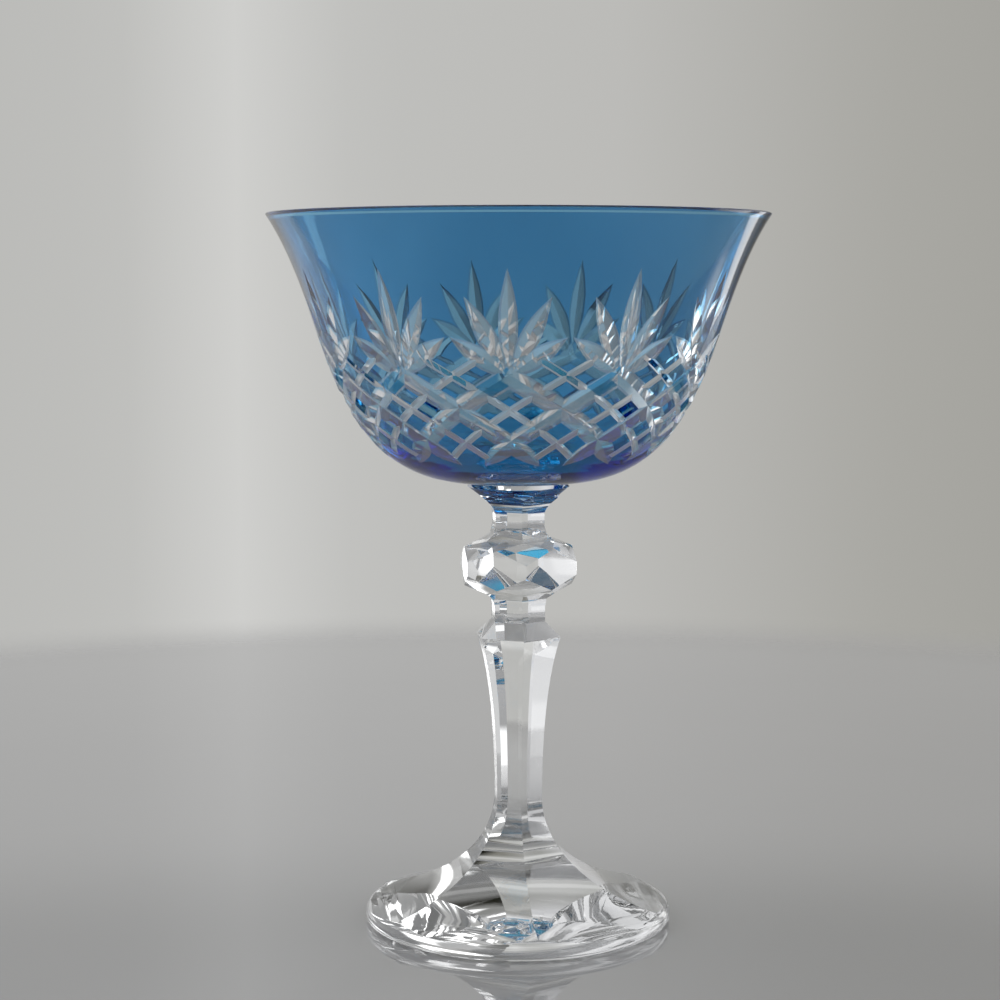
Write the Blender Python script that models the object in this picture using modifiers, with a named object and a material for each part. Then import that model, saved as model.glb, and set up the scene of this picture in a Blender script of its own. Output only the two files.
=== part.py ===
"""Cased and cut crystal champagne saucer on a six-sided faceted stem.

A clear crystal lining is cased in a thin blue overlay. Wheel cuts go through the
overlay into the lining: a ring of five-leaf fans over a band of crossing grooves.
The overlay is left as a rim field, a row of loose diamonds and a base cup. The
bowl stands on a solid clear stem with a faceted knop and on a six-panel foot.
The first fan faces -Y, and azimuths are measured from -Y towards +X.
"""

import math

import bmesh
import bpy
from mathutils import Matrix, Vector

# Overall size, in metres
HEIGHT = 0.1575
RIM_RADIUS = 0.0554
FOOT_RADIUS = 0.0342

# Clearances between neighbouring pieces
SEAM = 0.0003
CASING_SEAM = 0.00015

# Outline of the bowl: flared lip, leaning waist, round belly, flat seat
LIP_LEAN = math.radians(34.0)
LIP_PULL = 0.0107
WAIST_RADIUS = 0.0432
WAIST_HEIGHT = 0.1285
WAIST_LEAN = math.radians(18.6)
WAIST_PULL_UP = 0.0094
WAIST_PULL_DOWN = 0.0170
SEAT_RADIUS = 0.01126
SEAT_HEIGHT = 0.0987
SEAT_PULL = 0.0183

# Walls of the bowl
CASING = 0.0006
RIM_WALL = 0.0015
WAIST_WALL = 0.0030
FLOOR_WALL = 0.0050
LIP_STEP = 0.0005
BOWL_STEPS = 44
BOWL_TURN = math.radians(2.3)
LIP_POINTS = 3
BELLY_POINTS = 7

# Fans: five leaves ground with a V-edged wheel
FANS = 11
PITCH = 2.0 * math.pi / FANS
FAN_HEIGHT = 0.1235
TALL_LEAF_FOOT = 0.1241
TALL_LEAF_TIP = 0.1445
SIDE_LEAF_FOOT = (math.radians(0.9), 0.1240)
SIDE_LEAF_TIP = (math.radians(10.5), 0.1390)
LOW_LEAF_FOOT = (math.radians(0.3), 0.1236)
LOW_LEAF_TIP = (math.radians(15.1), 0.1311)
TALL_LEAF_DEPTH = 0.00093
SIDE_LEAF_DEPTH = 0.00095
LOW_LEAF_DEPTH = 0.00094
WHEEL_HALF_WIDTH = 0.0036
WHEEL_STEPS = 40
V_HALF_ANGLE = math.radians(67.0)

# Lattice under the fans: two families of grooves that climb half a pitch a row
ROW_RISE = 0.00713
GROOVE_DEPTH = 0.00100
GROOVE_TOP = 0.1239
GROOVE_END = 0.1045
GROOVE_FADE = 0.0035
GROOVE_STATIONS = 6
GROOVE_LIFT = 0.0008

# Fine score that halves each diamond both ways, shallower than the overlay
SCORE_DEPTH = 0.00045
SCORE_FADE = 0.0010
SCORE_TOP = 0.1272
SCORE_END = 0.1121
SCORE_STATIONS = 4

# Stem: ridge radii of the six-sided grinding, from the collar down
STEM_SIDES = 6
STEM_TURN = math.radians(10.0)
COLLAR_RADIUS = 0.01136
COLLAR_EDGE_HEIGHT = 0.0976
COLLAR_TOP_RADIUS = 0.01055
COLLAR_UNDER_RADIUS = 0.0093
COLLAR_UNDER_HEIGHT = 0.0959
FLUTE_TOP_RADIUS = 0.0145
NECK_RADIUS = 0.0063
NECK_TOP = 0.0915
NECK_END = 0.0890
KNOP_RADIUS = 0.0139
KNOP_HEIGHT = 0.0800
KNOP_EDGE = 0.00145
KNOP_PEAK = 0.00436
KNOP_CAP_RADIUS = 0.00875
KNOP_CAP = 0.00582
COVE_RADIUS = 0.0068
COVE = 0.0072
LOWER_NECK_RADIUS = 0.00647
LOWER_NECK_TOP = 0.0708
LOWER_NECK_END = 0.0677
SHOULDER_RADIUS = 0.01017
SHOULDER_HEIGHT = 0.0644
SHOULDER_LEAN = math.radians(19.3)
SHOULDER_PULL = 0.0123
COLUMN_RADIUS = 0.00583
COLUMN_WAIST = 0.0275
COLUMN_PULL = 0.0082
COLUMN_POINTS = 6

# Foot: round disc under the spreading six-sided flare
FOOT_SEAM = 0.0140
FLARE_PULL = 0.0048
FLARE_REACH = 0.0400
FLARE_REACH_HEIGHT = 0.0032
FLARE_TURN_RADIUS = 0.0091
FLARE_TURN_HEIGHT = 0.0075
FLARE_POINTS = 12
FOOT_STEPS = 60
FOOT_EDGE_HEIGHT = 0.0016
FOOT_EDGE_TOP = 0.0040
FOOT_EDGE_ROUND = 0.0014
REST_OUTER = 0.0329
REST_INNER = 0.0232
HOLLOW_DEPTH = 0.0012


def clear_scene():
    for obj in list(bpy.data.objects):
        bpy.data.objects.remove(obj, do_unlink=True)


def new_collection(name, parent=None):
    collection = bpy.data.collections.new(name)
    (parent or bpy.context.scene.collection).children.link(collection)
    return collection


def glass(name, colour, roughness, alpha):
    material = bpy.data.materials.new(name)
    material.use_nodes = True
    shader = material.node_tree.nodes["Principled BSDF"]
    shader.inputs["Base Color"].default_value = (*colour, 1.0)
    shader.inputs["Roughness"].default_value = roughness
    shader.inputs["Metallic"].default_value = 0.0
    shader.inputs["IOR"].default_value = 1.54
    shader.inputs["Transmission Weight"].default_value = 1.0
    shader.inputs["Alpha"].default_value = alpha
    return material


def bezier(start, pull_start, pull_end, end, count):
    """Points of a cubic curve in the radius and height plane, both ends included."""
    points = []
    for index in range(count + 1):
        t = index / count
        s = 1.0 - t
        weights = (s * s * s, 3.0 * s * s * t, 3.0 * s * t * t, t * t * t)
        corners = (start, pull_start, pull_end, end)
        points.append(tuple(sum(w * c[axis] for w, c in zip(weights, corners)) for axis in (0, 1)))
    return points


def bowl_outline(lip_points, belly_points):
    """Outer face of the bowl from the rim down to the edge of its seat."""
    rim = (RIM_RADIUS, HEIGHT)
    waist = (WAIST_RADIUS, WAIST_HEIGHT)
    seat = (SEAT_RADIUS, SEAT_HEIGHT)
    lip_pull = (rim[0] - LIP_PULL * math.sin(LIP_LEAN), rim[1] - LIP_PULL * math.cos(LIP_LEAN))
    lean = (math.sin(WAIST_LEAN), math.cos(WAIST_LEAN))
    above = (waist[0] + WAIST_PULL_UP * lean[0], waist[1] + WAIST_PULL_UP * lean[1])
    below = (waist[0] - WAIST_PULL_DOWN * lean[0], waist[1] - WAIST_PULL_DOWN * lean[1])
    under = (seat[0] + SEAT_PULL, seat[1])
    lip = bezier(rim, lip_pull, above, waist, lip_points)
    belly = bezier(waist, below, under, seat, belly_points)
    return lip + belly[1:]


def outward(points, index):
    """Unit normal of an outline that runs down the outer side."""
    before = points[max(index - 1, 0)]
    after = points[min(index + 1, len(points) - 1)]
    run = (after[0] - before[0], after[1] - before[1])
    length = math.hypot(*run)
    return (-run[1] / length, run[0] / length)


def inset(points, depth_at):
    """Outline moved inwards along its normals, level at the lip, by a depth that may depend on the height."""
    lip_radius, lip_height = points[0]
    moved = [(lip_radius - depth_at(lip_height) / outward(points, 0)[0], lip_height)]
    for index, (radius, height) in enumerate(points[1:], 1):
        normal = outward(points, index)
        depth = depth_at(height)
        moved.append((radius - depth * normal[0], height - depth * normal[1]))
    return moved


def wall_depth(height):
    """Wall of the whole bowl: thin at the lip and thick in the belly and floor."""
    if height > WAIST_HEIGHT:
        part = (HEIGHT - height) / (HEIGHT - WAIST_HEIGHT)
        return RIM_WALL + (WAIST_WALL - RIM_WALL) * part
    part = (WAIST_HEIGHT - height) / (WAIST_HEIGHT - SEAT_HEIGHT)
    return WAIST_WALL + (FLOOR_WALL - WAIST_WALL) * part ** 1.4


OUTLINE = bowl_outline(LIP_POINTS, BELLY_POINTS)


def wall_at(height):
    """Radius of the outer face and its outward normal at a height."""
    for index in range(len(OUTLINE) - 1):
        upper, lower = OUTLINE[index], OUTLINE[index + 1]
        if lower[1] <= height <= upper[1]:
            part = (upper[1] - height) / max(upper[1] - lower[1], 1e-9)
            first, second = outward(OUTLINE, index), outward(OUTLINE, index + 1)
            normal = (first[0] + (second[0] - first[0]) * part, first[1] + (second[1] - first[1]) * part)
            return upper[0] + (lower[0] - upper[0]) * part, normal
    return OUTLINE[-1][0], outward(OUTLINE, len(OUTLINE) - 1)


def on_wall(azimuth, height):
    """Place on the turned outer face, whose sides are flat between the turning steps."""
    radius, _ = wall_at(height)
    half_step = math.pi / BOWL_STEPS
    radius *= math.cos(half_step) / math.cos((azimuth - BOWL_TURN) % (2.0 * half_step) - half_step)
    return Vector((radius * math.sin(azimuth), -radius * math.cos(azimuth), height))


def wall_normal(azimuth, height):
    _, normal = wall_at(height)
    return Vector((normal[0] * math.sin(azimuth), -normal[0] * math.cos(azimuth), normal[1])).normalized()


def turned(name, profile, steps, collection, closed=False):
    """A turned piece: a profile that runs down its outer side, with a Screw modifier."""
    mesh = bpy.data.meshes.new(name)
    vertices = [(radius, 0.0, height) for radius, height in profile]
    edges = [(index, index + 1) for index in range(len(vertices) - 1)]
    if closed:
        edges.append((len(vertices) - 1, 0))
    mesh.from_pydata(vertices, edges, [])
    obj = bpy.data.objects.new(name, mesh)
    collection.objects.link(obj)
    screw = obj.modifiers.new("Turning", "SCREW")
    screw.axis = "Z"
    screw.steps = steps
    screw.render_steps = steps
    screw.use_merge_vertices = True
    screw.merge_threshold = 0.00001
    screw.use_smooth_shade = False
    return obj


def as_cutter(obj):
    obj.hide_render = True
    obj.display_type = "WIRE"
    return obj


def grind(obj, operation, cutter):
    """Boolean with one cutter or with a whole collection of them."""
    modifier = obj.modifiers.new("Grinding", "BOOLEAN")
    modifier.operation = operation
    modifier.solver = "EXACT"
    if isinstance(cutter, bpy.types.Collection):
        modifier.operand_type = "COLLECTION"
        modifier.collection = cutter
    else:
        modifier.object = cutter


def leaf_wheel(name, foot, tip, depth, collection):
    """V-edged wheel that leaves one pointed leaf between two places on the wall."""
    start, end = on_wall(*foot), on_wall(*tip)
    middle = (0.5 * (foot[0] + tip[0]), 0.5 * (foot[1] + tip[1]))
    normal = wall_normal(*middle)
    along = (end - start).normalized()
    normal = (normal - along * normal.dot(along)).normalized()
    bulge = (on_wall(*middle) - 0.5 * (start + end)).dot(normal)
    sink = depth - bulge
    radius = (0.25 * (end - start).length_squared + sink * sink) / (2.0 * sink)
    face = radius - WHEEL_HALF_WIDTH / math.tan(V_HALF_ANGLE)
    profile = [(0.0, WHEEL_HALF_WIDTH), (face, WHEEL_HALF_WIDTH), (radius, 0.0)]
    profile += [(face, -WHEEL_HALF_WIDTH), (0.0, -WHEEL_HALF_WIDTH)]
    wheel = as_cutter(turned(name, profile, WHEEL_STEPS, collection))
    centre = 0.5 * (start + end) + normal * (radius - sink)
    axle = normal.cross(along).normalized()
    turn = Matrix((-normal, axle.cross(-normal), axle)).transposed().to_4x4()
    wheel.matrix_world = Matrix.Translation(centre) @ turn
    return wheel


def v_groove(name, azimuth, side, top, end, rise, depth, fade, stations, collection):
    """V-shaped cutter swept down the wall, fading out to a point at its lower end."""
    cutter = bmesh.new()
    rings = []
    spread = math.tan(V_HALF_ANGLE)
    for index in range(stations + 1):
        part = index / stations
        height = top + (end - top) * part
        turn = azimuth + side * (FAN_HEIGHT - height) / rise * 0.5 * PITCH
        here = on_wall(turn, height)
        normal = wall_normal(turn, height)
        step = 0.0004
        ahead = on_wall(turn + side * step / rise * 0.5 * PITCH, height - step)
        across = normal.cross(ahead - here).normalized()
        sink = depth * min(1.0, (height - end) / fade) - 0.00005
        half = (sink + GROOVE_LIFT) * spread
        lifted = here + normal * GROOVE_LIFT
        corners = (here - normal * sink, lifted - across * half, lifted + across * half)
        rings.append([cutter.verts.new(corner) for corner in corners])
    for upper, lower in zip(rings, rings[1:]):
        for corner in range(3):
            following = (corner + 1) % 3
            cutter.faces.new((upper[corner], upper[following], lower[following], lower[corner]))
    cutter.faces.new(rings[0])
    cutter.faces.new(rings[-1])
    bmesh.ops.recalc_face_normals(cutter, faces=cutter.faces)
    mesh = bpy.data.meshes.new(name)
    cutter.to_mesh(mesh)
    cutter.free()
    obj = bpy.data.objects.new(name, mesh)
    collection.objects.link(obj)
    return as_cutter(obj)


def bowl_profile(outer, inner, rim):
    """Cup profile from the floor up the inside, over the lip and down the outside."""
    floor = [(0.0, inner[-1][1])]
    seat = [(0.0, outer[-1][1])]
    return floor + inner[::-1] + rim + outer + seat


def build_bowl(parts, cuts, overlay_cuts):
    outline = bowl_outline(LIP_POINTS, BELLY_POINTS)
    lowered = [(outline[0][0], HEIGHT - LIP_STEP)] + outline[1:]

    overlay_inner = inset(lowered, lambda height: CASING)
    casing = turned("casing", bowl_profile(lowered, overlay_inner, []), BOWL_STEPS, parts)
    casing.rotation_euler = (0.0, 0.0, BOWL_TURN)
    grind(casing, "DIFFERENCE", overlay_cuts)

    lining_outer = inset(lowered, lambda height: CASING + CASING_SEAM)
    lining_inner = inset(lowered, wall_depth)
    lip = [(0.5 * (lining_outer[0][0] + lining_inner[0][0]), HEIGHT)]
    lining = turned("crystal_lining", bowl_profile(lining_outer, lining_inner, lip), BOWL_STEPS, parts)
    lining.rotation_euler = (0.0, 0.0, BOWL_TURN)
    grind(lining, "DIFFERENCE", cuts)
    return lining, casing


def split_overlay(casing):
    """The cuts part the overlay, so each loose piece becomes an object of its own."""
    for obj in bpy.context.selected_objects:
        obj.select_set(False)
    bpy.context.view_layer.objects.active = casing
    casing.select_set(True)
    bpy.ops.object.convert(target="MESH")
    bpy.ops.mesh.separate(type="LOOSE")
    pieces = list(bpy.context.selected_objects)

    def middle(obj):
        total = sum((vertex.co for vertex in obj.data.vertices), Vector())
        return obj.matrix_world @ (total / len(obj.data.vertices))

    pieces.sort(key=lambda obj: max(vertex.co.z for vertex in obj.data.vertices))
    rim_field = pieces.pop()
    pieces.sort(key=lambda obj: min(vertex.co.z for vertex in obj.data.vertices))
    base = pieces.pop(0)
    rim_field.name = "casing_rim_field"
    base.name = "casing_base_cup"

    def azimuth(obj):
        place = middle(obj)
        return math.atan2(place.x, -place.y) % (2.0 * math.pi - 0.01)

    pieces.sort(key=azimuth)
    for number, piece in enumerate(pieces, 1):
        piece.name = f"casing_diamond_{number:02d}"
    return [rim_field, base] + pieces


def build_cutters(cuts, scores):
    for fan in range(FANS):
        turn = fan * PITCH
        leaf_wheel(f"tall_leaf_{fan}", (turn, TALL_LEAF_FOOT), (turn, TALL_LEAF_TIP), TALL_LEAF_DEPTH, cuts)
        for side, label in ((1, "right"), (-1, "left")):
            pairs = (
                ("side", SIDE_LEAF_FOOT, SIDE_LEAF_TIP, SIDE_LEAF_DEPTH),
                ("low", LOW_LEAF_FOOT, LOW_LEAF_TIP, LOW_LEAF_DEPTH),
            )
            for kind, foot, tip, depth in pairs:
                from_here = (turn + side * foot[0], foot[1])
                to_there = (turn + side * tip[0], tip[1])
                leaf_wheel(f"{kind}_leaf_{label}_{fan}", from_here, to_there, depth, cuts)
            v_groove(
                f"groove_{label}_{fan}", turn, side, GROOVE_TOP, GROOVE_END,
                ROW_RISE, GROOVE_DEPTH, GROOVE_FADE, GROOVE_STATIONS, cuts,
            )
            v_groove(
                f"score_{label}_{fan}", turn + 0.5 * PITCH, side, SCORE_TOP, SCORE_END,
                ROW_RISE, SCORE_DEPTH, SCORE_FADE, SCORE_STATIONS, scores,
            )


def column_ridge():
    """Ridge of the column from its shoulder down to the waist."""
    shoulder = (SHOULDER_RADIUS, SHOULDER_HEIGHT)
    waist = (COLUMN_RADIUS, COLUMN_WAIST)
    leaving = (
        shoulder[0] - SHOULDER_PULL * math.sin(SHOULDER_LEAN),
        shoulder[1] - SHOULDER_PULL * math.cos(SHOULDER_LEAN),
    )
    return bezier(shoulder, leaving, (waist[0], waist[1] + COLUMN_PULL), waist, COLUMN_POINTS)


def flare_ridge():
    """Ridge of the flare from the column's waist out past the edge of the foot."""
    waist = (COLUMN_RADIUS, COLUMN_WAIST)
    reach = (FLARE_REACH, FLARE_REACH_HEIGHT)
    turn = (FLARE_TURN_RADIUS, FLARE_TURN_HEIGHT)
    return bezier(waist, (COLUMN_RADIUS, COLUMN_WAIST - FLARE_PULL), turn, reach, FLARE_POINTS)


def cut_at(points, height):
    """Split a falling ridge at a height: the upper and the lower run, both ending on it."""
    for index in range(len(points) - 1):
        upper, lower = points[index], points[index + 1]
        if upper[1] >= height > lower[1]:
            part = (upper[1] - height) / (upper[1] - lower[1])
            place = (upper[0] + (lower[0] - upper[0]) * part, height)
            return points[: index + 1] + [place], [place] + points[index + 1:]
    raise ValueError("the ridge doesn't pass this height")


def six_sided(name, ridge, collection, turn=STEM_TURN):
    """Six flat-sided solid through ridge points that run from the top down."""
    profile = [(0.0, ridge[0][1])] + ridge + [(0.0, ridge[-1][1])]
    obj = turned(name, profile, STEM_SIDES, collection)
    obj.rotation_euler = (0.0, 0.0, turn - 0.5 * math.pi)
    return obj


def build_stem(parts, tools):
    top = SEAT_HEIGHT - SEAM
    flute = bezier(
        (FLUTE_TOP_RADIUS, top), (0.5 * (FLUTE_TOP_RADIUS + NECK_RADIUS), COLLAR_UNDER_HEIGHT),
        (NECK_RADIUS, NECK_TOP + 0.0022), (NECK_RADIUS, NECK_TOP), 5,
    )
    knop = [
        (COVE_RADIUS, KNOP_HEIGHT + COVE), (KNOP_CAP_RADIUS, KNOP_HEIGHT + KNOP_CAP),
        (KNOP_RADIUS, KNOP_HEIGHT + KNOP_PEAK), (KNOP_RADIUS, KNOP_HEIGHT - KNOP_PEAK),
        (KNOP_CAP_RADIUS, KNOP_HEIGHT - KNOP_CAP), (COVE_RADIUS, KNOP_HEIGHT - COVE),
    ]
    neck = [(NECK_RADIUS, NECK_END)]
    lower_neck = [(LOWER_NECK_RADIUS, LOWER_NECK_TOP), (LOWER_NECK_RADIUS, LOWER_NECK_END)]
    flare, _ = cut_at(flare_ridge(), FOOT_SEAM + SEAM)
    ridge = flute + neck + knop + lower_neck + column_ridge() + flare[1:]
    stem = six_sided("stem", ridge, parts)

    wide = 2.0 * KNOP_RADIUS
    below = COLLAR_UNDER_HEIGHT - (COLLAR_EDGE_HEIGHT - COLLAR_UNDER_HEIGHT)
    collar = [
        (0.0, top + SEAM), (COLLAR_TOP_RADIUS, top + SEAM), (COLLAR_RADIUS, COLLAR_EDGE_HEIGHT),
        (COLLAR_UNDER_RADIUS, COLLAR_UNDER_HEIGHT), (COLLAR_UNDER_RADIUS, below),
        (wide, below - SEAM), (wide, 0.0), (0.0, 0.0),
    ]
    grind(stem, "INTERSECT", as_cutter(turned("collar_blank", collar, 48, tools)))

    # Corner facets of the knop: six planes above and six below, turned half a side
    flat = 1.0 / math.cos(math.pi / STEM_SIDES)
    slope = (KNOP_RADIUS - KNOP_CAP_RADIUS) / (KNOP_CAP - KNOP_EDGE)
    reach = KNOP_CAP + 0.0002
    narrow = flat * (KNOP_RADIUS - slope * (reach - KNOP_EDGE))
    corner = [(wide, HEIGHT), (wide, KNOP_HEIGHT + reach + SEAM), (narrow, KNOP_HEIGHT + reach)]
    corner += [(flat * KNOP_RADIUS, KNOP_HEIGHT + KNOP_EDGE), (flat * KNOP_RADIUS, KNOP_HEIGHT - KNOP_EDGE)]
    corner += [(narrow, KNOP_HEIGHT - reach), (wide, KNOP_HEIGHT - reach - SEAM), (wide, 0.0)]
    blank = six_sided("knop_corner_grinding", corner, tools, STEM_TURN + math.pi / STEM_SIDES)
    grind(stem, "INTERSECT", as_cutter(blank))
    return stem


def build_foot(parts, tools):
    edge = FOOT_RADIUS - FOOT_EDGE_ROUND
    disc = [
        (0.0, FOOT_SEAM), (edge, FOOT_SEAM), (edge, FOOT_EDGE_TOP),
        (FOOT_RADIUS - 0.25 * FOOT_EDGE_ROUND, 0.5 * (FOOT_EDGE_TOP + FOOT_EDGE_HEIGHT)),
        (FOOT_RADIUS, FOOT_EDGE_HEIGHT), (0.5 * (FOOT_RADIUS + REST_OUTER), 0.3 * FOOT_EDGE_HEIGHT),
        (REST_OUTER, 0.0), (REST_INNER, 0.0), (0.6 * REST_INNER, 0.7 * HOLLOW_DEPTH), (0.0, HOLLOW_DEPTH),
    ]
    foot = turned("foot", disc, FOOT_STEPS, parts)
    _, flare = cut_at(flare_ridge(), FOOT_SEAM)
    panels = flare + [(FLARE_REACH, -FOOT_EDGE_HEIGHT)]
    panels[0] = (panels[0][0], FOOT_SEAM)
    grind(foot, "INTERSECT", as_cutter(six_sided("foot_panel_grinding", panels, tools)))
    return foot


def build():
    clear_scene()
    parts = new_collection("champagne_saucer")
    tools = new_collection("cutters")
    overlay_cuts = new_collection("overlay_cuts")
    cuts = new_collection("wheel_cuts", overlay_cuts)
    scores = new_collection("score_cuts", overlay_cuts)

    build_cutters(cuts, scores)
    lining, casing = build_bowl(parts, cuts, overlay_cuts)
    bpy.context.view_layer.update()
    overlay = split_overlay(casing)
    stem = build_stem(parts, tools)
    foot = build_foot(parts, tools)

    blue = (0.02, 0.09, 0.24)
    clear = (0.93, 0.95, 0.96)
    for piece in overlay:
        piece.data.materials.clear()
        piece.data.materials.append(glass(f"{piece.name}_blue_glass", blue, 0.04, 1.0))
    for piece in (lining, stem, foot):
        piece.data.materials.append(glass(f"{piece.name}_crystal", clear, 0.02, 1.0))


build()
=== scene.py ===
"""Looks of the cased and cut crystal champagne saucer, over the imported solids.

The bowl is ground as the real one is: a turned lining and a turned blue overlay, both
cut by the same V-edged leaves and grooves. One of eleven equal sectors is cut and then
repeated round the axis. Azimuths are measured from -Y towards +X, in radians.
"""

import math

import bmesh
import bpy
import numpy as np
from mathutils import Matrix, Vector


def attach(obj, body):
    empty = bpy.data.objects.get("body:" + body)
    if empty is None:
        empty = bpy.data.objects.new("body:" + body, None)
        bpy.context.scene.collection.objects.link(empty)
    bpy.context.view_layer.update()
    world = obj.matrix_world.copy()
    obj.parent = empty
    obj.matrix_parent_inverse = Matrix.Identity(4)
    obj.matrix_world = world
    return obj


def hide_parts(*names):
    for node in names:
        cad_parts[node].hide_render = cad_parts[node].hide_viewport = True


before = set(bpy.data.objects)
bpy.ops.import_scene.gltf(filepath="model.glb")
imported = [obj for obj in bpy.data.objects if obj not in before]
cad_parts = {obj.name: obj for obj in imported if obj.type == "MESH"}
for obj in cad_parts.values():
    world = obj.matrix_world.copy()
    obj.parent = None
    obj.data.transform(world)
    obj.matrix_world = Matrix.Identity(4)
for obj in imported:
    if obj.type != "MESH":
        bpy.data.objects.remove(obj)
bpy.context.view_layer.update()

# Sizes from the part's source, in metres
HEIGHT, RIM_RADIUS = 0.1575, 0.0554
LIP_LEAN, LIP_PULL = math.radians(34.0), 0.0107
WAIST_RADIUS, WAIST_HEIGHT, WAIST_LEAN = 0.0432, 0.1285, math.radians(18.6)
WAIST_PULL_UP, WAIST_PULL_DOWN = 0.0094, 0.0170
SEAT_RADIUS, SEAT_HEIGHT, SEAT_PULL = 0.01126, 0.0987, 0.0183
CASING, RIM_WALL, WAIST_WALL, FLOOR_WALL = 0.00022, 0.0015, 0.0030, 0.0050
FANS = 11
PITCH = 2.0 * math.pi / FANS
FAN_HEIGHT, ROW_RISE = 0.1235, 0.00713
STEM_TURN = math.radians(10.0)
COLLAR_TOP_RADIUS = 0.01055
FOOT_RADIUS, FOOT_SEAM, FLARE_REACH = 0.0342, 0.0140, 0.0400

# Optical joints between fused pieces
GAP = 0.00001


# Curves

def bezier(start, pull_start, pull_end, end, count):
    t = np.linspace(0.0, 1.0, count + 1)[:, None]
    s = 1.0 - t
    a, b, c, d = (np.array(p) for p in (start, pull_start, pull_end, end))
    return s**3 * a + 3 * s * s * t * b + 3 * s * t * t * c + t**3 * d


def smooth_normals(points):
    """Unit normals on the left of a run of points, which is outside for one that falls."""
    run = np.gradient(points, axis=0)
    run /= np.linalg.norm(run, axis=1)[:, None]
    return np.stack([-run[:, 1], run[:, 0]], axis=1)


def bowl_outline():
    rim = np.array((RIM_RADIUS, HEIGHT))
    waist = np.array((WAIST_RADIUS, WAIST_HEIGHT))
    lip = np.array((math.sin(LIP_LEAN), math.cos(LIP_LEAN)))
    lean = np.array((math.sin(WAIST_LEAN), math.cos(WAIST_LEAN)))
    upper = bezier(rim, rim - LIP_PULL * lip, waist + WAIST_PULL_UP * lean, waist, 150)
    under = (SEAT_RADIUS + SEAT_PULL, SEAT_HEIGHT)
    lower = bezier(waist, waist - WAIST_PULL_DOWN * lean, under, (SEAT_RADIUS, SEAT_HEIGHT), 250)
    return np.concatenate([upper, lower[1:]])


OUTLINE = bowl_outline()
OUT_NORMAL = smooth_normals(OUTLINE)
LENGTH = np.concatenate([[0.0], np.cumsum(np.linalg.norm(np.diff(OUTLINE, axis=0), axis=1))])


def along(lengths):
    """Outline points and normals at distances from the rim."""
    points = np.stack([np.interp(lengths, LENGTH, OUTLINE[:, k]) for k in (0, 1)], axis=1)
    normals = np.stack([np.interp(lengths, LENGTH, OUT_NORMAL[:, k]) for k in (0, 1)], axis=1)
    return points, normals / np.linalg.norm(normals, axis=1)[:, None]


def wall_depth(height):
    upper = RIM_WALL + (WAIST_WALL - RIM_WALL) * (HEIGHT - height) / (HEIGHT - WAIST_HEIGHT)
    part = np.clip((WAIST_HEIGHT - height) / (WAIST_HEIGHT - SEAT_HEIGHT), 0.0, 1.0)
    return np.where(height > WAIST_HEIGHT, upper, WAIST_WALL + (FLOOR_WALL - WAIST_WALL) * part**1.4)


def on_wall(azimuth, height):
    """Place on the outer face and its outward normal."""
    falling = OUTLINE[::-1, 1]
    radius = np.interp(height, falling, OUTLINE[::-1, 0])
    out = np.interp(height, falling, OUT_NORMAL[::-1, 0])
    up = np.interp(height, falling, OUT_NORMAL[::-1, 1])
    s, c = math.sin(azimuth), math.cos(azimuth)
    place = Vector((radius * s, -radius * c, height))
    return place, Vector((out * s, -out * c, up)).normalized()


# Materials

def nodes_of(material):
    material.use_nodes = True
    tree = material.node_tree
    tree.nodes.clear()
    return tree, tree.nodes.new("ShaderNodeOutputMaterial")


def noise(tree, scale, detail=2.0, rough=0.5):
    where = tree.nodes.new("ShaderNodeTexCoord")
    texture = tree.nodes.new("ShaderNodeTexNoise")
    texture.inputs["Scale"].default_value = scale
    texture.inputs["Detail"].default_value = detail
    texture.inputs["Roughness"].default_value = rough
    tree.links.new(where.outputs["Object"], texture.inputs["Vector"])
    return texture.outputs["Fac"]


def ramp(tree, value, stops):
    node = tree.nodes.new("ShaderNodeValToRGB")
    elements = node.color_ramp.elements
    while len(elements) < len(stops):
        elements.new(0.5)
    for element, (place, colour) in zip(elements, stops):
        element.position = place
        element.color = (*colour, 1.0)
    tree.links.new(value, node.inputs["Fac"])
    return node.outputs["Color"]


def spread(tree, value, low, high):
    node = tree.nodes.new("ShaderNodeMapRange")
    node.inputs["From Min"].default_value = 0.3
    node.inputs["From Max"].default_value = 0.7
    node.inputs["To Min"].default_value = low
    node.inputs["To Max"].default_value = high
    tree.links.new(value, node.inputs["Value"])
    return node.outputs["Result"]


def polished(name, thin, thick, ripple=0.02, ripple_scale=120.0, smear=0.004, clear=1.0):
    """Polished glass: slight cords in the metal, faint handling haze and a soft ripple."""
    material = bpy.data.materials.new(name)
    tree, out = nodes_of(material)
    shader = tree.nodes.new("ShaderNodeBsdfPrincipled")
    shader.inputs["Transmission Weight"].default_value = clear
    shader.inputs["IOR"].default_value = 1.545
    shader.inputs["Metallic"].default_value = 0.0
    tree.links.new(ramp(tree, noise(tree, 45.0), [(0.35, thin), (0.65, thick)]), shader.inputs["Base Color"])
    tree.links.new(spread(tree, noise(tree, 90.0, 4.0), 0.0, smear), shader.inputs["Roughness"])
    bump = tree.nodes.new("ShaderNodeBump")
    bump.inputs["Strength"].default_value = ripple
    bump.inputs["Distance"].default_value = 0.001
    tree.links.new(noise(tree, ripple_scale, 1.0), bump.inputs["Height"])
    tree.links.new(bump.outputs["Normal"], shader.inputs["Normal"])
    tree.links.new(shader.outputs["BSDF"], out.inputs["Surface"])
    return material


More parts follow.
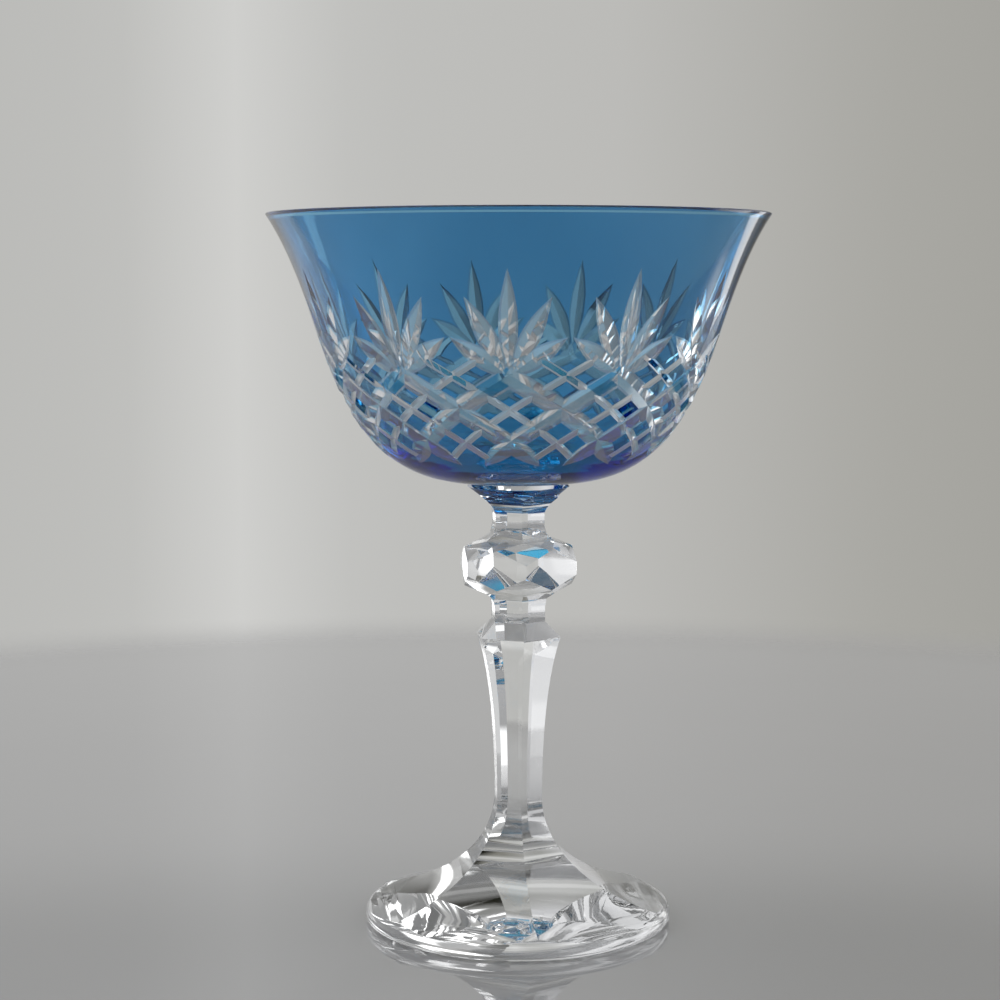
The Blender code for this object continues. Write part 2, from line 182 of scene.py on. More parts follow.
def by_height(tree, low, high):
    where = tree.nodes.new("ShaderNodeTexCoord")
    split = tree.nodes.new("ShaderNodeSeparateXYZ")
    tree.links.new(where.outputs["Object"], split.inputs["Vector"])
    node = tree.nodes.new("ShaderNodeMapRange")
    node.interpolation_type = "SMOOTHSTEP"
    node.inputs["From Min"].default_value = low
    node.inputs["From Max"].default_value = high
    tree.links.new(split.outputs["Z"], node.inputs["Value"])
    return node.outputs["Result"]


def by_radius(tree, low, high):
    where = tree.nodes.new("ShaderNodeTexCoord")
    flat = tree.nodes.new("ShaderNodeVectorMath")
    flat.operation = "MULTIPLY"
    flat.inputs[1].default_value = (1.0, 1.0, 0.0)
    tree.links.new(where.outputs["Object"], flat.inputs[0])
    far = tree.nodes.new("ShaderNodeVectorMath")
    far.operation = "LENGTH"
    tree.links.new(flat.outputs["Vector"], far.inputs[0])
    node = tree.nodes.new("ShaderNodeMapRange")
    node.interpolation_type = "SMOOTHSTEP"
    node.inputs["From Min"].default_value = low
    node.inputs["From Max"].default_value = high
    tree.links.new(far.outputs["Value"], node.inputs["Value"])
    return node.outputs["Result"]


def blend(tree, factor, first, second):
    node = tree.nodes.new("ShaderNodeMix")
    node.data_type = "RGBA"
    tree.links.new(factor, node.inputs["Factor"])
    for socket, item in ((node.inputs["A"], first), (node.inputs["B"], second)):
        if isinstance(item, tuple):
            socket.default_value = (*item, 1.0)
        else:
            tree.links.new(item, socket)
    return node.outputs["Result"]


def joint(name, light, deep=None, base=None, seat=None):
    """Face where two glasses are fused: light goes straight on, tinted by the layer."""
    material = bpy.data.materials.new(name)
    tree, out = nodes_of(material)
    shader = tree.nodes.new("ShaderNodeBsdfTransparent")
    if deep is None:
        shader.inputs["Color"].default_value = (*light, 1.0)
    else:
        upper = ramp(tree, noise(tree, 30.0), [(0.3, light), (0.7, deep)])
        lower = blend(tree, by_radius(tree, 0.0113, 0.0140), seat, base)
        tree.links.new(blend(tree, by_height(tree, 0.1060, 0.1200), lower, upper), shader.inputs["Color"])
    tree.links.new(shader.outputs["BSDF"], out.inputs["Surface"])
    return material


CLEAR_THIN, CLEAR_THICK = (0.985, 0.99, 0.992), (0.965, 0.975, 0.98)
BLUE_THIN, BLUE_THICK = (0.44, 0.70, 0.88), (0.40, 0.67, 0.865)
LAYER_THIN, LAYER_THICK = (0.37, 0.655, 0.83), (0.34, 0.625, 0.805)
LAYER_BASE, LAYER_SEAT = (0.12, 0.635, 0.885), (0.26, 0.40, 0.56)


# Meshes

def mesh_object(name, vertices, faces, tags=None, materials=(), normals=None):
    mesh = bpy.data.meshes.new(name)
    mesh.from_pydata([tuple(v) for v in vertices], [], faces)
    for material in materials:
        mesh.materials.append(material)
    if tags is not None:
        mesh.polygons.foreach_set("material_index", np.asarray(tags, dtype=np.int32))
    mesh.update()
    obj = bpy.data.objects.new(name, mesh)
    bpy.context.scene.collection.objects.link(obj)
    return obj


def remove(*objects):
    for obj in objects:
        mesh = obj.data
        bpy.data.objects.remove(obj, do_unlink=True)
        bpy.data.meshes.remove(mesh)


def boolean(obj, operation, cutters):
    """EXACT Boolean with a list of cutters. The face tags of both sides are kept."""
    group = bpy.data.collections.new("cutters")
    bpy.context.scene.collection.children.link(group)
    for cutter in cutters:
        for old in list(cutter.users_collection):
            old.objects.unlink(cutter)
        group.objects.link(cutter)
    modifier = obj.modifiers.new("Grinding", "BOOLEAN")
    modifier.operation = operation
    modifier.solver = "EXACT"
    modifier.operand_type = "COLLECTION"
    modifier.collection = group
    modifier.material_mode = "INDEX"
    graph = bpy.context.evaluated_depsgraph_get()
    mesh = bpy.data.meshes.new_from_object(obj.evaluated_get(graph))
    obj.modifiers.clear()
    old = obj.data
    obj.data = mesh
    bpy.data.meshes.remove(old)
    bpy.data.collections.remove(group)
    return obj


def shade(obj, angle):
    """Smooth shading with sharp edges where faces turn by more than an angle or change material."""
    mesh = obj.data
    mesh.polygons.foreach_set("use_smooth", np.ones(len(mesh.polygons), dtype=bool))
    work = bmesh.new()
    work.from_mesh(mesh)
    for edge in work.edges:
        sharp = len(edge.link_faces) != 2
        if not sharp:
            one, two = edge.link_faces
            sharp = one.material_index != two.material_index or edge.calc_face_angle(0.0) > angle
        edge.smooth = not sharp
    work.to_mesh(mesh)
    work.free()
    mesh.update()


# Cutters of the bowl

def v_cutter(name, stations, half_angle, tag, lift=0.0009):
    """V-edged solid swept along the wall through (azimuth, height, depth) stations."""
    places = [on_wall(azimuth, height) for azimuth, height, _ in stations]
    spread_out = math.tan(half_angle)
    vertices, faces = [], []
    for index, (here, normal) in enumerate(places):
        ahead = places[min(index + 1, len(places) - 1)][0] - places[max(index - 1, 0)][0]
        across = normal.cross(ahead).normalized()
        sink = stations[index][2]
        half = (sink + lift) * spread_out
        vertices += [here - normal * sink, here + normal * lift - across * half, here + normal * lift + across * half]
    for index in range(len(places) - 1):
        a, b = 3 * index, 3 * index + 3
        for corner in range(3):
            following = (corner + 1) % 3
            faces.append((a + corner, a + following, b + following, b + corner))
    last = 3 * (len(places) - 1)
    faces += [(2, 1, 0), (last, last + 1, last + 2)]
    obj = mesh_object(name, vertices, faces, [tag] * len(faces), TAG_MATERIALS)
    work = bmesh.new()
    work.from_mesh(obj.data)
    bmesh.ops.recalc_face_normals(work, faces=work.faces)
    work.to_mesh(obj.data)
    work.free()
    return obj


SKIN, LAYER, JOINT, SIDE, CUT, SCORE = range(6)
TAG_MATERIALS = [bpy.data.materials.new(f"tag_{k}") for k in range(6)]

V_WIDE = math.radians(67.0)
V_FINE = math.radians(58.0)


def leaf(name, foot, tip, half_width, count=26, lean=1.12):
    """One leaf: a wheel's round edge sinks in at the foot, is deepest on the way and runs out at the tip."""
    stations = []
    for index in range(count + 1):
        t = index / count
        share = (1.0 - t)**lean
        sink = half_width / math.tan(V_WIDE) * 4.0 * share * (1.0 - share) - 0.00003
        stations.append((foot[0] + (tip[0] - foot[0]) * t, foot[1] + (tip[1] - foot[1]) * t, sink))
    return v_cutter(name, stations, V_WIDE, CUT)


def groove(name, azimuth, side, top, end, depth, fade, half_angle, tag=CUT, count=40, head=0.0):
    stations = []
    for index in range(count + 1):
        height = top + (end - top) * index / count
        turn = azimuth + side * (FAN_HEIGHT - height) / ROW_RISE * 0.5 * PITCH
        share = min(1.0, (height - end) / fade)
        if head:
            share = min(share, (top - height) / head)
        share = math.sin(0.5 * math.pi * max(share, 0.0))
        stations.append((turn, height, depth * share - 0.00003))
    return v_cutter(name, stations, half_angle, tag)


def bowl_cutters():
    cutters = []
    for fan in (-2, -1, 0, 1, 2):
        turn = fan * PITCH
        if abs(fan) < 2:
            cutters.append(leaf(f"tall_{fan}", (turn, 0.1236), (turn, 0.1457), 0.00218))
        for side in (1, -1):
            if abs(fan) < 2:
                cutters.append(leaf(
                    f"side_{fan}_{side}", (turn + side * math.radians(0.6), 0.1236),
                    (turn + side * math.radians(11.0), 0.1399), 0.00227,
                ))
                cutters.append(leaf(
                    f"low_{fan}_{side}", (turn + side * math.radians(0.1), 0.1235),
                    (turn + side * math.radians(15.9), 0.1316), 0.00232,
                ))
            cutters.append(groove(
                f"groove_{fan}_{side}", turn, side, 0.1239, 0.1042, 0.00244 / math.tan(V_WIDE), 0.0035, V_WIDE,
            ))
            cutters.append(groove(
                f"score_{fan}_{side}", turn + 0.5 * PITCH, side, 0.1276, 0.1051,
                0.00092 / math.tan(V_FINE), 0.0012, V_FINE, SCORE, 44, 0.0012,
            ))
    return cutters


# The bowl

def sector(name, profile, tags, start, columns):
    """Closed solid wedge of one pitch, from a profile that starts and ends on the axis."""
    vertices, index_of = [], {}
    for row, (radius, height) in enumerate(profile):
        for column in range(columns + 1):
            if radius < 1e-9 and column:
                index_of[row, column] = index_of[row, 0]
                continue
            azimuth = start + PITCH * column / columns
            index_of[row, column] = len(vertices)
            vertices.append((radius * math.sin(azimuth), -radius * math.cos(azimuth), height))
    faces, face_tags = [], []
    for row in range(len(profile) - 1):
        for column in range(columns):
            ring = [index_of[row, column], index_of[row, column + 1]]
            ring += [index_of[row + 1, column + 1], index_of[row + 1, column]]
            ring = [v for k, v in enumerate(ring) if v not in ring[:k]]
            if len(ring) > 2:
                faces.append(ring)
                face_tags.append(tags[row])
    for column, order in ((0, -1), (columns, 1)):
        faces.append([index_of[row, column] for row in range(len(profile))][::order])
        face_tags.append(SIDE)
    return mesh_object(name, vertices, faces, face_tags, TAG_MATERIALS)


def repeated(name, wedge, start, materials, slots, lookup):
    """Eleven copies of a cut wedge, joined at their sides, with true normals on the turned faces."""
    mesh = wedge.data
    count = len(mesh.vertices)
    co = np.empty(count * 3)
    mesh.vertices.foreach_get("co", co)
    co = co.reshape(-1, 3)
    azimuth = np.arctan2(co[:, 0], -co[:, 1])
    radius = np.hypot(co[:, 0], co[:, 1])
    axis = radius < 1e-7
    first = (np.abs(radius * np.sin(azimuth - start)) < 3e-7) & ~axis
    second = (np.abs(radius * np.sin(azimuth - start - PITCH)) < 3e-7) & ~axis
    flat = np.stack([radius, co[:, 2]], axis=1)
    ones = np.flatnonzero(first)
    pair, worst = {}, 0.0
    for v in np.flatnonzero(second):
        away = np.linalg.norm(flat[ones] - flat[v], axis=1)
        pair[v] = ones[np.argmin(away)]
        worst = max(worst, away.min())
    if worst > 2e-6 or len(set(pair.values())) != len(ones):
        print("sides differ:", name, worst, len(pair), len(ones))
    own = [v for v in range(count) if v not in pair and not axis[v]]
    place = {v: k for k, v in enumerate(own)}
    centre = {v: k for k, v in enumerate(np.flatnonzero(axis))}
    vertices, faces, tags = [], [], []
    for copy in range(FANS):
        s, c = math.sin(copy * PITCH), math.cos(copy * PITCH)
        x, y = co[own, 0], co[own, 1]
        vertices.append(np.stack([c * x - s * y, s * x + c * y, co[own, 2]], axis=1))
    vertices.append(co[axis])
    total = FANS * len(own)

    def number(v, copy):
        if axis[v]:
            return total + centre[v]
        if v in pair:
            return (copy + 1) % FANS * len(own) + place[pair[v]]
        return copy * len(own) + place[v]

    rings = [(tuple(p.vertices), p.material_index) for p in mesh.polygons if p.material_index != SIDE]
    for copy in range(FANS):
        for ring, tag in rings:
            new = [number(v, copy) for v in ring]
            new = [v for k, v in enumerate(new) if v != new[k - 1]]
            if len(new) > 2:
                faces.append(new)
                tags.append(tag)
    obj = mesh_object(name, np.concatenate(vertices), faces, [slots[t] for t in tags], materials)
    shade(obj, math.radians(14.0))
    true_normals(obj, np.array(tags), lookup)
    return obj


def true_normals(obj, tags, lookup):
    mesh = obj.data
    loops = len(mesh.loops)
    normals = np.empty(loops * 3)
    mesh.corner_normals.foreach_get("vector", normals)
    normals = normals.reshape(-1, 3)
    corner = np.empty(loops, dtype=np.int32)
    mesh.loops.foreach_get("vertex_index", corner)
    co = np.empty(len(mesh.vertices) * 3)
    mesh.vertices.foreach_get("co", co)
    co = co.reshape(-1, 3)
    sizes = np.empty(len(mesh.polygons), dtype=np.int32)
    mesh.polygons.foreach_get("loop_total", sizes)
    tag = np.repeat(tags, sizes)
    for kind, (points, outward) in lookup.items():
        mine = np.flatnonzero(tag == kind)
        used = np.unique(corner[mine])
        radius = np.hypot(co[used, 0], co[used, 1])
        best = np.empty(len(used), dtype=np.int64)
        for low in range(0, len(used), 4000):
            part = slice(low, low + 4000)
            away = (radius[part, None] - points[None, :, 0])**2 + (co[used[part], 2][:, None] - points[None, :, 1])**2
            best[part] = np.argmin(away, axis=1)
        azimuth = np.arctan2(co[used, 0], -co[used, 1])
        n = outward[best]
        found = np.stack([n[:, 0] * np.sin(azimuth), -n[:, 0] * np.cos(azimuth), n[:, 1]], axis=1)
        back = np.zeros(len(co), dtype=np.int64)
        back[used] = np.arange(len(used))
        normals[mine] = found[back[corner[mine]]]
    mesh.normals_split_custom_set([tuple(n) for n in normals])


def dense(points, step=0.00004):
    """A run of profile points with close steps, for looking up normals."""
    length = np.concatenate([[0.0], np.cumsum(np.linalg.norm(np.diff(points, axis=0), axis=1))])
    at = np.linspace(0.0, length[-1], max(int(length[-1] / step), 4))
    return np.stack([np.interp(at, length, points[:, k]) for k in (0, 1)], axis=1)


def build_bowl():
    lip_trim = 0.00055
    rows = np.concatenate([
        np.linspace(lip_trim, 0.012, 12, endpoint=False),
        np.linspace(0.012, LENGTH[-1], 62),
    ])
    outer, normal = along(rows)

    # The inner faces run level with the outer one at the lip, and square to it lower down
    level = np.clip(1.0 - (rows - lip_trim) / 0.005, 0.0, 1.0)[:, None]
    inward = level * np.array((1.0, 0.0)) + (1.0 - level) * normal
    inward /= np.sum(inward * normal, axis=1)[:, None]
    layer = outer - CASING * inward
    lining_out = outer - (CASING + GAP) * inward
    inner = outer - wall_depth(outer[:, 1])[:, None] * inward

    # Rounded lip over the whole wall, shared by the overlay and the lining
    half = 0.5 * (outer[0, 0] - inner[0, 0])
    middle = 0.5 * (outer[0] + inner[0])

    def cap(angle):
        return middle + (half * math.cos(angle), lip_trim * math.cos(LIP_LEAN) * math.sin(angle))

    meet = math.acos(1.0 - (outer[0, 0] - layer[0, 0]) / half)
    lip_outer = [cap(meet * k / 5) for k in range(1, 6)]
    lip_inner = [cap(meet + (math.pi - meet) * k / 7) for k in range(7)]

    seat = SEAT_HEIGHT
    floor = inner[-1, 1]
    below = [(0.0, seat), (0.5 * COLLAR_TOP_RADIUS, seat), (COLLAR_TOP_RADIUS, seat)]
    casing_profile = below + list(map(tuple, outer[::-1])) + list(map(tuple, lip_outer))
    casing_tags = [JOINT, JOINT] + [SKIN] * (len(outer) + len(lip_outer))
    back = list(map(tuple, layer[1:])) + [(0.5 * SEAT_RADIUS, seat + CASING), (0.0, seat + CASING)]
    casing_profile += back
    casing_tags += [LAYER] * len(back)

    under = [(0.0, seat + CASING + GAP), (0.5 * SEAT_RADIUS, seat + CASING + GAP)]
    lining_profile = under + list(map(tuple, lining_out[:0:-1])) + list(map(tuple, lip_inner))
    lining_tags = [JOINT] * (len(under) + len(outer) - 1)
    inside = list(map(tuple, inner)) + [(0.66 * inner[-1, 0], floor), (0.33 * inner[-1, 0], floor), (0.0, floor)]
    lining_profile += inside
    lining_tags += [SKIN] * (len(lining_profile) - 1 - len(lining_tags))

    start, columns = -0.5 * PITCH + math.radians(3.7), 22
    casing = sector("casing_wedge", casing_profile, casing_tags, start, columns)
    lining = sector("lining_wedge", lining_profile, lining_tags, start, columns)
    cutters = bowl_cutters()
    boolean(casing, "DIFFERENCE", cutters)
    for cutter in cutters:
        bpy.context.scene.collection.objects.link(cutter)
    boolean(lining, "DIFFERENCE", cutters)
    remove(*cutters)

    skin = dense(np.array(below[1:] + list(map(tuple, outer[::-1])) + list(map(tuple, lip_outer))))
    skin_normal = -smooth_normals(skin)
    wall = dense(np.array(lip_inner + inside))
    wall_normal = -smooth_normals(wall)

    cut_clear = polished("cut_crystal", CLEAR_THIN, CLEAR_THICK, 0.03, 260.0, 0.07, 0.74)
    fine_clear = polished("score_crystal", CLEAR_THIN, CLEAR_THICK, 0.05, 420.0, 0.18, 0.52)
    lining_clear = polished("lining_crystal", CLEAR_THIN, CLEAR_THICK)
    blue_skin = polished("blue_casing_glass", BLUE_THIN, BLUE_THICK)
    blue_layer = joint("blue_casing_layer", LAYER_THIN, LAYER_THICK, LAYER_BASE, LAYER_SEAT)
    through = joint("fused_joint", (1.0, 1.0, 1.0))

    crystal = repeated(
        "crystal_bowl", lining, start, [lining_clear, through, cut_clear, fine_clear],
        {SKIN: 0, JOINT: 1, CUT: 2, SCORE: 3},
        {SKIN: (wall, wall_normal)},
    )
    overlay = repeated(
        "blue_overlay", casing, start, [blue_skin, blue_layer, through, cut_clear, fine_clear],
        {SKIN: 0, LAYER: 1, JOINT: 2, CUT: 3, SCORE: 4}, {SKIN: (skin, skin_normal)},
    )
    remove(casing, lining)
    return crystal, overlay


# Stem and foot

def turned(name, profile, steps, turn=0.0):
    """Closed turned solid from a profile that starts and ends on the axis."""
    vertices, index_of = [], {}
    for row, (radius, height) in enumerate(profile):
        for step in range(steps):
            if radius < 1e-9 and step:
                index_of[row, step] = index_of[row, 0]
                continue
            azimuth = turn + 2.0 * math.pi * step / steps
            index_of[row, step] = len(vertices)
            vertices.append((radius * math.sin(azimuth), -radius * math.cos(azimuth), height))
    faces = []
    for row in range(len(profile) - 1):
        for step in range(steps):
            following = (step + 1) % steps
            ring = [index_of[row, step], index_of[row, following]]
            ring += [index_of[row + 1, following], index_of[row + 1, step]]
            ring = [v for k, v in enumerate(ring) if v not in ring[:k]]
            if len(ring) > 2:
                faces.append(ring)
    obj = mesh_object(name, vertices, faces)
    work = bmesh.new()
    work.from_mesh(obj.data)
    bmesh.ops.recalc_face_normals(work, faces=work.faces)
    work.to_mesh(obj.data)
    work.free()
    return obj


def column_ridge():
    shoulder, waist = np.array((0.01017, 0.0644)), np.array((0.00583, 0.0275))
    lean = np.array((math.sin(math.radians(19.3)), math.cos(math.radians(19.3))))
    return bezier(shoulder, shoulder - 0.0123 * lean, waist + (0.0, 0.0082), waist, 30)


def flare_ridge():
    waist = np.array((0.00583, 0.0275))
    return bezier(waist, waist - (0.0, 0.0048), (0.0091, 0.0075), (FLARE_REACH, 0.0032), 48)


def split_at(points, height):
    below = int(np.argmax(points[:, 1] < height))
    radius = np.interp(height, points[::-1, 1], points[::-1, 0])
    place = np.array([(radius, height)])
    return np.concatenate([points[:below], place]), np.concatenate([place, points[below:]])


def softened(obj, width, segments=2):
    """Edges of the grinding, polished to a fine round."""
    bevel = obj.modifiers.new("Polishing", "BEVEL")
    bevel.width = width
    bevel.segments = segments
    bevel.limit_method = "ANGLE"
    bevel.angle_limit = math.radians(16.0)
    bevel.use_clamp_overlap = True
    graph = bpy.context.evaluated_depsgraph_get()
    mesh = bpy.data.meshes.new_from_object(obj.evaluated_get(graph))
    obj.modifiers.clear()
    old = obj.data
    obj.data = mesh
    bpy.data.meshes.remove(old)


def finish_piece(obj, materials, is_joint):
    """Material slots, with the fused faces in a slot of their own."""
    mesh = obj.data
    mesh.materials.clear()
    for material in materials:
        mesh.materials.append(material)
    for polygon in mesh.polygons:
        polygon.material_index = 1 if is_joint(polygon) else 0
    shade(obj, math.radians(15.0))


def build_stem():
    top = SEAT_HEIGHT - GAP
    flute_top, neck, neck_top, neck_end, lower_neck = 0.0145, 0.0063, 0.0915, 0.0890, 0.00647
    edge, under, under_height = (0.01136, 0.0976), 0.0093, 0.0959
    mid, radius, cap_radius, cove_radius = 0.0800, 0.0139, 0.00875, 0.0068
    side_edge, peak, cap, cove = 0.00145, 0.00436, 0.00582, 0.0072
    flute = bezier(
        (flute_top, top), (0.5 * (flute_top + neck), under_height), (neck, neck_top + 0.0022), (neck, neck_top), 20,
    )
    knop = [(cove_radius, mid + cove), (cap_radius, mid + cap), (radius, mid + peak)]
    knop += [(place, 2.0 * mid - height) for place, height in knop[::-1]]
    necks = [(neck, neck_end)] + knop + [(lower_neck, 0.0708), (lower_neck, 0.0677)]
    flare, _ = split_at(flare_ridge(), FOOT_SEAM + GAP)
    ridge = [tuple(p) for p in flute] + necks + [tuple(p) for p in column_ridge()] + [tuple(p) for p in flare[1:]]
    profile = [(0.0, ridge[0][1])] + ridge + [(0.0, ridge[-1][1])]
    stem = turned("stem_glass", profile, 6, STEM_TURN)

    # Round collar, then the corner facets of the knop
    wide = 0.03
    collar = [
        (0.0, top + 0.001), (COLLAR_TOP_RADIUS - 0.0007, top + 0.001), (COLLAR_TOP_RADIUS, top), edge,
        (under, under_height), (under, under_height - 0.0017), (wide, under_height - 0.0020), (wide, 0.0), (0.0, 0.0),
    ]
    blank = turned("collar_blank", collar, 96)
    boolean(stem, "INTERSECT", [blank])
    flat = 1.0 / math.cos(math.pi / 6)
    slope = (radius - cap_radius) / (cap - side_edge)
    reach = cap + 0.0002
    narrow = flat * (radius - slope * (reach - side_edge))
    upper = [(wide, mid + reach + 0.0003), (narrow, mid + reach), (flat * radius, mid + side_edge)]
    lower = [(place, 2.0 * mid - height) for place, height in upper[::-1]]
    corner = [(0.0, HEIGHT), (wide, HEIGHT)] + upper + lower + [(wide, 0.0), (0.0, 0.0)]
    grinding = turned("corner_grinding", corner, 6, STEM_TURN + math.pi / 6)
    boolean(stem, "INTERSECT", [grinding])
    remove(blank, grinding)
    softened(stem, 0.0002)

    clear = polished("stem_crystal", CLEAR_THIN, CLEAR_THICK, 0.02, 160.0)
    low = FOOT_SEAM + GAP

    def is_joint(polygon):
        height = polygon.center.z
        return abs(polygon.normal.z) > 0.99 and (abs(height - top) < 2e-6 or abs(height - low) < 2e-6)

    finish_piece(stem, [clear, bpy.data.materials["fused_joint"]], is_joint)
    return stem


def build_foot():
    edge = FOOT_RADIUS
    rim = [
        (edge - 0.0014, 0.0040), (edge - 0.0009, 0.0038), (edge - 0.00048, 0.0033), (edge - 0.0002, 0.0027),
        (edge - 0.00005, 0.0021), (edge, 0.0016), (edge - 0.00012, 0.0010), (edge - 0.0005, 0.00045), (0.0329, 0.0),
    ]
    hollow = [(0.0232 * (1 - k / 8), 0.0012 * (1 - (1 - k / 8)**2)) for k in range(9)]
    disc = [(0.0, FOOT_SEAM), (edge - 0.0014, FOOT_SEAM)] + rim + hollow
    foot = turned("foot_glass", disc, 160)
    _, flare = split_at(flare_ridge(), FOOT_SEAM)
    panels = [(0.0, FOOT_SEAM)] + [tuple(p) for p in flare] + [(FLARE_REACH, -0.002), (0.0, -0.002)]
    grinding = turned("panel_grinding", panels, 6, STEM_TURN)
    boolean(foot, "INTERSECT", [grinding])
    remove(grinding)
    softened(foot, 0.0002)
    clear = polished("foot_crystal", CLEAR_THIN, CLEAR_THICK, 0.02, 120.0)

    def is_joint(polygon):
        return polygon.normal.z > 0.99 and abs(polygon.center.z - FOOT_SEAM) < 2e-6

    finish_piece(foot, [clear, bpy.data.materials["fused_joint"]], is_joint)
    return foot


# Stage

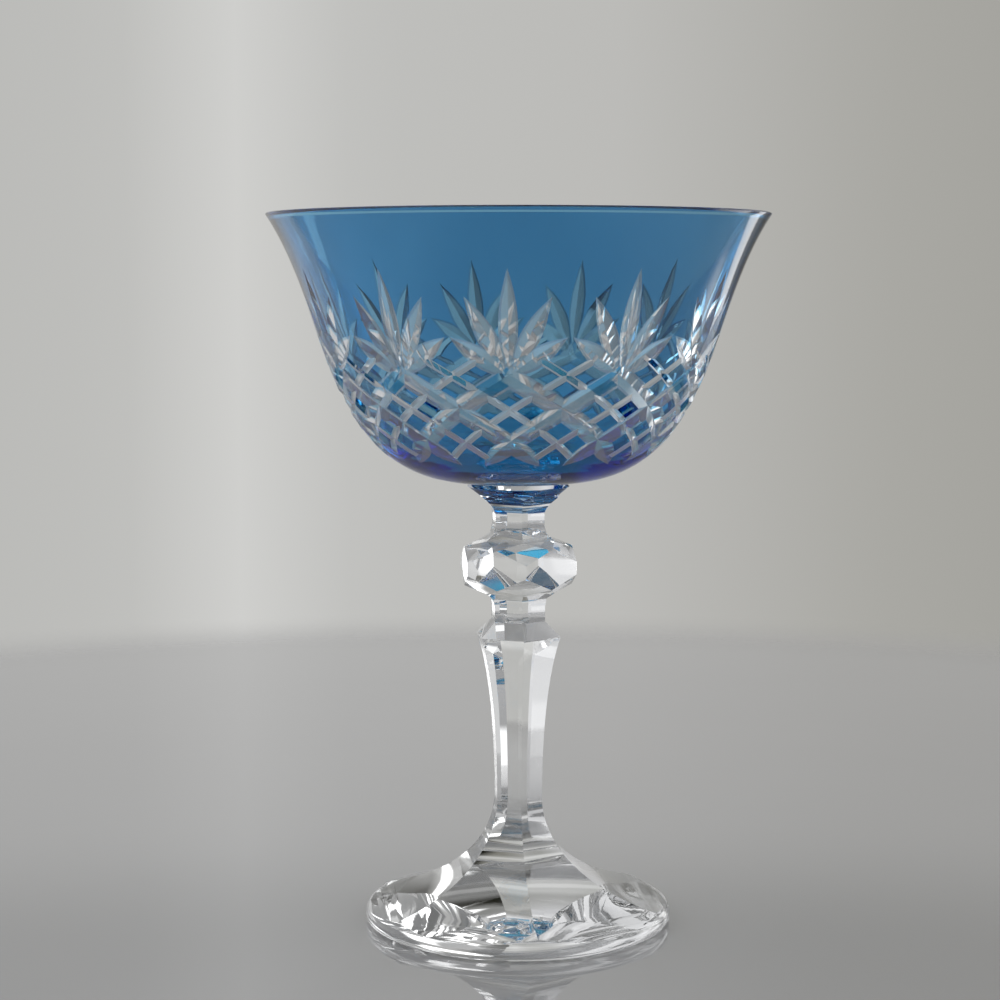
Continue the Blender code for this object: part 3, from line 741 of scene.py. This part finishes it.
def build_stage():
    floor = turned("table_top", [(0.0, 0.0), (0.46, 0.0), (0.46, -0.004), (0.0, -0.004)], 160)
    shade(floor, math.radians(30.0))
    material = bpy.data.materials.new("pale_lacquer")
    tree, out = nodes_of(material)
    shader = tree.nodes.new("ShaderNodeBsdfPrincipled")
    shader.inputs["Roughness"].default_value = 0.02
    shader.inputs["IOR"].default_value = 2.8
    tone = ramp(tree, noise(tree, 8.0, 3.0), [(0.3, (0.47, 0.467, 0.472)), (0.7, (0.49, 0.487, 0.492))])
    tree.links.new(tone, shader.inputs["Base Color"])
    tree.links.new(by_radius(tree, 0.46, 0.36), shader.inputs["Alpha"])
    tree.links.new(shader.outputs["BSDF"], out.inputs["Surface"])
    floor.data.materials.append(material)
    floor.location.z = -0.00002

    world = bpy.data.worlds.new("studio")
    bpy.context.scene.world = world
    world.use_nodes = True
    tree = world.node_tree
    tree.nodes.clear()
    out = tree.nodes.new("ShaderNodeOutputWorld")
    back = tree.nodes.new("ShaderNodeBackground")
    where = tree.nodes.new("ShaderNodeTexCoord")
    split = tree.nodes.new("ShaderNodeSeparateXYZ")
    tree.links.new(where.outputs["Generated"], split.inputs["Vector"])
    turn = tree.nodes.new("ShaderNodeMath")
    turn.operation = "ARCTAN2"
    tree.links.new(split.outputs["X"], turn.inputs[0])
    tree.links.new(split.outputs["Y"], turn.inputs[1])

    def value(operation, *inputs):
        node = tree.nodes.new("ShaderNodeMath")
        node.operation = operation
        for socket, item in zip(node.inputs, inputs):
            if isinstance(item, float):
                socket.default_value = item
            else:
                tree.links.new(item, socket)
        return node.outputs[0]

    def soft_window(azimuth, half_width, low, high, edge=0.10):
        """A bright patch of the room with soft edges, by azimuth from +Y and by height."""
        away = value("ABSOLUTE", value("SUBTRACT", turn.outputs[0], azimuth))
        sides = tree.nodes.new("ShaderNodeMapRange")
        sides.interpolation_type = "SMOOTHSTEP"
        sides.inputs["From Min"].default_value = half_width + edge
        sides.inputs["From Max"].default_value = half_width
        tree.links.new(away, sides.inputs["Value"])
        up = tree.nodes.new("ShaderNodeMapRange")
        up.interpolation_type = "SMOOTHSTEP"
        up.inputs["From Min"].default_value = low - edge
        up.inputs["From Max"].default_value = low
        tree.links.new(split.outputs["Z"], up.inputs["Value"])
        down = tree.nodes.new("ShaderNodeMapRange")
        down.interpolation_type = "SMOOTHSTEP"
        down.inputs["From Min"].default_value = high + edge
        down.inputs["From Max"].default_value = high
        tree.links.new(split.outputs["Z"], down.inputs["Value"])
        return value("MULTIPLY", value("MULTIPLY", sides.outputs[0], up.outputs[0]), down.outputs[0])

    round_room = tree.nodes.new("ShaderNodeMapRange")
    round_room.inputs["From Min"].default_value = -math.pi
    round_room.inputs["From Max"].default_value = math.pi
    tree.links.new(turn.outputs[0], round_room.inputs["Value"])

    def at(degrees):
        return 0.5 + degrees / 360.0

    tone = ramp(tree, round_room.outputs["Result"], [
        (0.0, (0.28, 0.28, 0.28)), (at(-150), (0.28, 0.28, 0.28)), (at(-115), (0.55, 0.55, 0.56)), (at(-75), (0.85, 0.85, 0.86)),
        (at(-35), (0.80, 0.80, 0.81)), (at(-18), (0.49, 0.49, 0.475)),
        (at(-12.9), (0.515, 0.515, 0.50)), (at(-9.9), (0.625, 0.625, 0.61)), (at(-6.6), (0.52, 0.52, 0.505)),
        (at(0), (0.50, 0.497, 0.48)), (at(6.5), (0.40, 0.395, 0.37)), (at(10), (0.375, 0.37, 0.345)), (at(15), (0.16, 0.16, 0.155)), (at(21), (0.16, 0.16, 0.155)),
        (at(27), (0.42, 0.42, 0.41)), (at(85), (0.48, 0.48, 0.48)),
        (at(103), (0.66, 0.66, 0.66)), (at(124), (0.40, 0.40, 0.40)), (at(155), (0.28, 0.28, 0.28)),
        (1.0, (0.28, 0.28, 0.28)),
    ])
    windows = value("MULTIPLY", soft_window(math.radians(62.0), 0.18, -0.25, 0.20, 0.14), 2.2)
    windows = value("ADD", windows, value("MULTIPLY", soft_window(math.radians(138.0), 0.12, -0.10, 0.16), 1.3))
    windows = value("ADD", windows, value("MULTIPLY", soft_window(math.radians(-138.0), 0.10, -0.10, 0.16), 0.8))
    windows = value("ADD", windows, value("MULTIPLY", soft_window(math.radians(33.0), 0.05, -0.45, 0.60, 0.05), 1.9))
    ceiling = tree.nodes.new("ShaderNodeMapRange")
    ceiling.interpolation_type = "SMOOTHSTEP"
    ceiling.inputs["From Min"].default_value = 0.28
    ceiling.inputs["From Max"].default_value = 0.62
    ceiling.inputs["To Min"].default_value = 1.0
    ceiling.inputs["To Max"].default_value = 1.05
    tree.links.new(split.outputs["Z"], ceiling.inputs["Value"])
    windows = value("ADD", windows, value("MULTIPLY", soft_window(0.0, 0.60, 0.17, 0.24, 0.05), 0.15))
    windows = value("ADD", windows, value("MULTIPLY", soft_window(0.0, 0.90, 0.50, 0.84, 0.15), -0.20))
    dimmed = tree.nodes.new("ShaderNodeVectorMath")
    dimmed.operation = "SCALE"
    tree.links.new(tone, dimmed.inputs[0])
    tree.links.new(ceiling.outputs["Result"], dimmed.inputs["Scale"])
    total = tree.nodes.new("ShaderNodeMix")
    total.data_type = "RGBA"
    total.blend_type = "ADD"
    total.inputs["Factor"].default_value = 1.0
    tree.links.new(dimmed.outputs["Vector"], total.inputs["A"])
    tree.links.new(windows, total.inputs["B"])
    tree.links.new(total.outputs["Result"], back.inputs["Color"])
    tree.links.new(back.outputs["Background"], out.inputs["Surface"])

    lens = bpy.data.cameras.new("camera")
    lens.sensor_width = 36.0
    lens.lens = 79.2
    lens.clip_start, lens.clip_end = 0.01, 20.0
    camera = bpy.data.objects.new("camera", lens)
    bpy.context.scene.collection.objects.link(camera)
    turn, away = math.radians(2.6), 0.4847
    place = Vector((away * math.sin(turn), -away * math.cos(turn), 0.1430))
    right = Vector((math.cos(turn), math.sin(turn), 0.0))
    aim = Vector((0.0, 0.0, 0.09445)) - 0.00403 * right
    look = (aim - place).to_track_quat("-Z", "Y").to_matrix().to_4x4()
    camera.matrix_world = Matrix.Translation(place) @ look
    bpy.context.scene.camera = camera

    scene = bpy.context.scene
    scene.view_settings.view_transform = "Standard"
    scene.cycles.max_bounces = 48
    scene.cycles.transmission_bounces = 48
    scene.cycles.glossy_bounces = 32
    scene.cycles.transparent_max_bounces = 96
    scene.cycles.diffuse_bounces = 3


crystal, overlay = build_bowl()
stem = build_stem()
foot = build_foot()
for material in TAG_MATERIALS:
    bpy.data.materials.remove(material)

overlay_nodes = ["casing_rim_field", "casing_base_cup"] + [f"casing_diamond_{k:02d}" for k in range(1, FANS + 1)]
for piece, nodes, slot in (
    (crystal, ["crystal_lining"], "lining_crystal"),
    (overlay, overlay_nodes, "blue_casing"),
    (stem, ["stem"], "stem_crystal"),
    (foot, ["foot"], "foot_crystal"),
):
    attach(piece, "root")
    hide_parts(*nodes)
build_stage()
